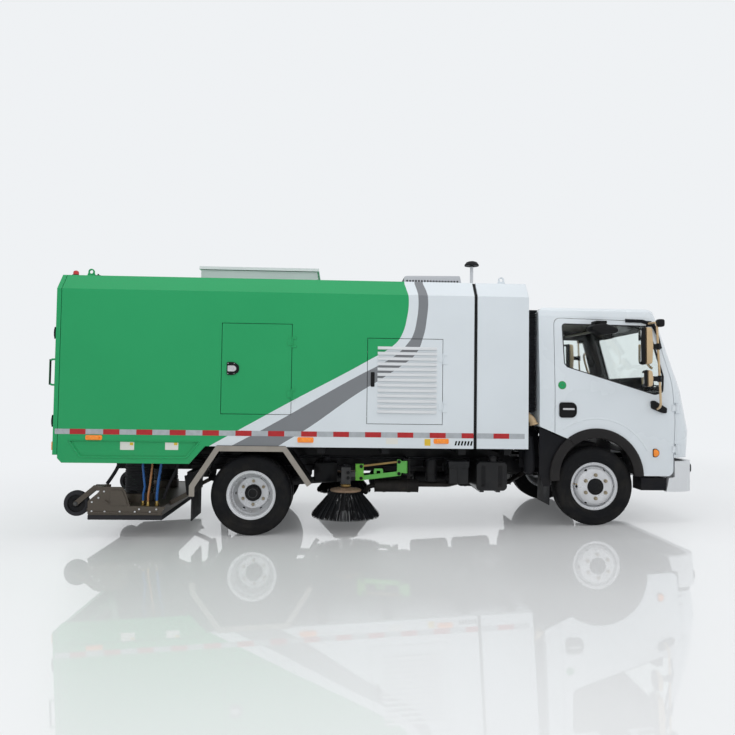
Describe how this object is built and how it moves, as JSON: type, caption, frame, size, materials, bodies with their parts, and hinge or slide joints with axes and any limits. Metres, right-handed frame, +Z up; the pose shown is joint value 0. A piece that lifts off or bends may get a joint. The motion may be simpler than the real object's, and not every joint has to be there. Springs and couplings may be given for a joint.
{
  "type": "street sweeper truck",
  "caption": "Cab-over light truck with a vacuum street-sweeping body, side brushes under its flanks and a suction head behind the rear wheels.",
  "frame": {"origin": "on the ground, under the centre of the whole truck", "axes": "+X forwards, +Y to the left, +Z up"},
  "size_m": [6.2048, 2.47, 2.6725],
  "materials": {
    "tyre": "matt black tyre rubber",
    "rim_silver": "silver wheel paint",
    "chassis_black": "satin black chassis paint",
    "cast_iron": "dull cast iron",
    "tank_black": "semi-gloss black",
    "plastic_black": "textured black plastic",
    "exhaust_steel": "heat-dulled steel",
    "body_paint": "gloss green with white and grey sweeps",
    "white_paint": "gloss white",
    "fender_black": "black with a grey lip",
    "glass": "clear glass, lightly tinted",
    "trim_grey": "dark grey cab trim",
    "seat_fabric": "black woven seat cloth",
    "trim_black": "black grip",
    "linkage_green": "bright green paint",
    "rod_bronze": "bronze paint",
    "bristle": "dense plastic and wire bristles",
    "head_steel": "worn brown-grey steel",
    "rubber": "black rubber"
  },
  "bodies": {
    "chassis": {"air_intake": "plastic_black", "axles": "chassis_black", "battery_box": "plastic_black", "body_shell": "body_paint", "bumper": "white_paint", "crossmembers": "chassis_black", "engines": "cast_iron", "exhaust": "exhaust_steel", "frame_rails": "chassis_black", "front_compartment": "white_paint", "fuel_tank": "tank_black", "hoses": "rubber", "leaf_springs": "chassis_black", "mudguards": "plastic_black", "propshaft": "chassis_black", "rear_fenders": "fender_black", "roof_box": "body_paint", "roof_vents": "white_paint", "suction_ducts": "rubber"},
    "wheel_front_right": {"tyre_front_right": "tyre", "rim_front_right": "rim_silver"},
    "wheel_rear_right": {"tyres_rear_right": "tyre", "rims_rear_right": "rim_silver"},
    "knuckle_right": {"knuckle_right": "chassis_black"},
    "cab_door_right": {"cab_door_right": "white_paint", "door_glass_right": "glass", "mirrors_right": "plastic_black"},
    "cabinet_door_right": {"cabinet_door_right": "body_paint"},
    "louvre_door_right": {"louvre_door_right": "white_paint"},
    "brush_post_right": {"brush_post_right": "linkage_green"},
    "brush_arm_right": {"brush_arm_right": "linkage_green"},
    "brush_rod_right": {"brush_rod_right": "rod_bronze"},
    "brush_carrier_right": {"brush_carrier_right": "linkage_green"},
    "side_brush_right": {"side_brush_right": "bristle"},
    "castor_wheel_right": {"castor_wheel_right": "rubber"},
    "wheel_front_left": {"tyre_front_left": "tyre", "rim_front_left": "rim_silver"},
    "wheel_rear_left": {"tyres_rear_left": "tyre", "rims_rear_left": "rim_silver"},
    "knuckle_left": {"knuckle_left": "chassis_black"},
    "cab_door_left": {"cab_door_left": "white_paint", "door_glass_left": "glass", "mirrors_left": "plastic_black"},
    "cabinet_door_left": {"cabinet_door_left": "body_paint"},
    "louvre_door_left": {"louvre_door_left": "white_paint"},
    "brush_post_left": {"brush_post_left": "linkage_green"},
    "brush_arm_left": {"brush_arm_left": "linkage_green"},
    "brush_rod_left": {"brush_rod_left": "rod_bronze"},
    "brush_carrier_left": {"brush_carrier_left": "linkage_green"},
    "side_brush_left": {"side_brush_left": "bristle"},
    "castor_wheel_left": {"castor_wheel_left": "rubber"},
    "tailgate": {"tailgate": "body_paint"},
    "roof_box_lid": {"roof_box_lid": "body_paint"},
    "steering_wheel": {"steering_wheel": "trim_black"},
    "suction_head": {"suction_head": "head_steel"},
    "cab": {"cab_shell": "white_paint", "front_panel": "white_paint", "windscreen": "glass", "dashboard": "trim_grey", "seats": "seat_fabric"}
  },
  "joints": [
    {"name": "cab_tilt", "type": "hinge", "parent": "chassis", "child": "cab", "pos_m": [3.00235, 0, 0.6337], "axis": [0, 1, 0], "range_deg": [0, 45]},
    {"name": "tailgate", "type": "hinge", "parent": "chassis", "child": "tailgate", "pos_m": [-2.9953, 0, 2.50891], "axis": [0, 1, 0], "range_deg": [0, 80]},
    {"name": "roof_box_lid", "type": "hinge", "parent": "chassis", "child": "roof_box_lid", "pos_m": [-1.15474, 0.726, 2.56276], "axis": [-0.9995, 0, 0.0311], "range_deg": [0, 75]},
    {"name": "suction_head", "type": "hinge", "parent": "chassis", "child": "suction_head", "pos_m": [-1.88335, 0, 0.36533], "axis": [0, -1, 0], "range_deg": [0, 9]},
    {"name": "steer_right", "type": "hinge", "parent": "chassis", "child": "knuckle_right", "pos_m": [2.07362, -0.72, 0.38], "axis": [0.0311, 0, 0.9995], "range_deg": [-32, 32]},
    {"name": "wheel_front_right_spin", "type": "hinge", "parent": "knuckle_right", "child": "wheel_front_right", "pos_m": [2.07362, -0.849, 0.38], "axis": [0, 1, 0], "continuous": true},
    {"name": "wheel_rear_right_spin", "type": "hinge", "parent": "chassis", "child": "wheel_rear_right", "pos_m": [-1.23438, -0.793, 0.38], "axis": [0, 1, 0], "continuous": true},
    {"name": "cab_door_right", "type": "hinge", "parent": "cab", "child": "cab_door_right", "pos_m": [2.88581, -0.976, 0.97249], "axis": [0.0311, 0, 0.9995], "range_deg": [0, 70]},
    {"name": "cabinet_door_right", "type": "hinge", "parent": "chassis", "child": "cabinet_door_right", "pos_m": [-0.82879, -1.086, 1.55815], "axis": [0.0311, 0, 0.9995], "range_deg": [0, 110]},
    {"name": "louvre_door_right", "type": "hinge", "parent": "chassis", "child": "louvre_door_right", "pos_m": [0.59442, -1.086, 1.41388], "axis": [0.0311, 0, 0.9995], "range_deg": [0, 110]},
    {"name": "brush_swing_right", "type": "hinge", "parent": "chassis", "child": "brush_post_right", "pos_m": [0.24979, -0.8, 0.59419], "axis": [0.0311, 0, 0.9995], "range_deg": [0, 30]},
    {"name": "brush_arm_right", "type": "hinge", "parent": "brush_post_right", "child": "brush_arm_right", "pos_m": [0.1828, -0.8, 0.53124], "axis": [0, -1, 0], "range_deg": [0, 15]},
    {"name": "brush_rod_right", "type": "hinge", "parent": "brush_post_right", "child": "brush_rod_right", "pos_m": [0.18638, -0.8, 0.64618], "axis": [0, -1, 0], "range_deg": [0, 15]},
    {"name": "brush_carrier_right", "type": "hinge", "parent": "brush_arm_right", "child": "brush_carrier_right", "pos_m": [-0.18848, -0.8, 0.49575], "axis": [0, -1, 0], "range_deg": [-15, 0]},
    {"name": "side_brush_right_spin", "type": "hinge", "parent": "brush_carrier_right", "child": "side_brush_right", "pos_m": [-0.33728, -0.86, 0.47236], "axis": [0.0311, 0, 0.9995], "continuous": true},
    {"name": "castor_wheel_right_spin", "type": "hinge", "parent": "suction_head", "child": "castor_wheel_right", "pos_m": [-2.90006, -0.85, 0.3259], "axis": [0, 1, 0], "continuous": true},
    {"name": "steer_left", "type": "hinge", "parent": "chassis", "child": "knuckle_left", "pos_m": [2.07362, 0.72, 0.38], "axis": [0.0311, 0, 0.9995], "range_deg": [-32, 32]},
    {"name": "wheel_front_left_spin", "type": "hinge", "parent": "knuckle_left", "child": "wheel_front_left", "pos_m": [2.07362, 0.849, 0.38], "axis": [0, 1, 0], "continuous": true},
    {"name": "wheel_rear_left_spin", "type": "hinge", "parent": "chassis", "child": "wheel_rear_left", "pos_m": [-1.23438, 0.793, 0.38], "axis": [0, 1, 0], "continuous": true},
    {"name": "cab_door_left", "type": "hinge", "parent": "cab", "child": "cab_door_left", "pos_m": [2.88581, 0.976, 0.97249], "axis": [-0.0311, 0, -0.9995], "range_deg": [0, 70]},
    {"name": "cabinet_door_left", "type": "hinge", "parent": "chassis", "child": "cabinet_door_left", "pos_m": [-0.82879, 1.086, 1.55815], "axis": [-0.0311, 0, -0.9995], "range_deg": [0, 110]},
    {"name": "louvre_door_left", "type": "hinge", "parent": "chassis", "child": "louvre_door_left", "pos_m": [0.59442, 1.086, 1.41388], "axis": [-0.0311, 0, -0.9995], "range_deg": [0, 110]},
    {"name": "brush_swing_left", "type": "hinge", "parent": "chassis", "child": "brush_post_left", "pos_m": [0.24979, 0.8, 0.59419], "axis": [-0.0311, 0, -0.9995], "range_deg": [0, 30]},
    {"name": "brush_arm_left", "type": "hinge", "parent": "brush_post_left", "child": "brush_arm_left", "pos_m": [0.1828, 0.8, 0.53124], "axis": [0, -1, 0], "range_deg": [0, 15]},
    {"name": "brush_rod_left", "type": "hinge", "parent": "brush_post_left", "child": "brush_rod_left", "pos_m": [0.18638, 0.8, 0.64618], "axis": [0, -1, 0], "range_deg": [0, 15]},
    {"name": "brush_carrier_left", "type": "hinge", "parent": "brush_arm_left", "child": "brush_carrier_left", "pos_m": [-0.18848, 0.8, 0.49575], "axis": [0, -1, 0], "range_deg": [-15, 0]},
    {"name": "side_brush_left_spin", "type": "hinge", "parent": "brush_carrier_left", "child": "side_brush_left", "pos_m": [-0.33728, 0.86, 0.47236], "axis": [0.0311, 0, 0.9995], "continuous": true},
    {"name": "castor_wheel_left_spin", "type": "hinge", "parent": "suction_head", "child": "castor_wheel_left", "pos_m": [-2.90006, 0.85, 0.3259], "axis": [0, 1, 0], "continuous": true},
    {"name": "steering_wheel", "type": "hinge", "parent": "cab", "child": "steering_wheel", "pos_m": [2.58477, 0.45, 1.36203], "axis": [-0.6187, 0, 0.7856], "range_deg": [-512, 512]}
  ],
  "couplings": [
    {"joint": "steer_right", "follows": "steer_left", "ratio": 1},
    {"joint": "steering_wheel", "follows": "steer_left", "ratio": 16},
    {"joint": "brush_rod_right", "follows": "brush_arm_right", "ratio": 1},
    {"joint": "brush_carrier_right", "follows": "brush_arm_right", "ratio": -1},
    {"joint": "brush_rod_left", "follows": "brush_arm_left", "ratio": 1},
    {"joint": "brush_carrier_left", "follows": "brush_arm_left", "ratio": -1}
  ]
}
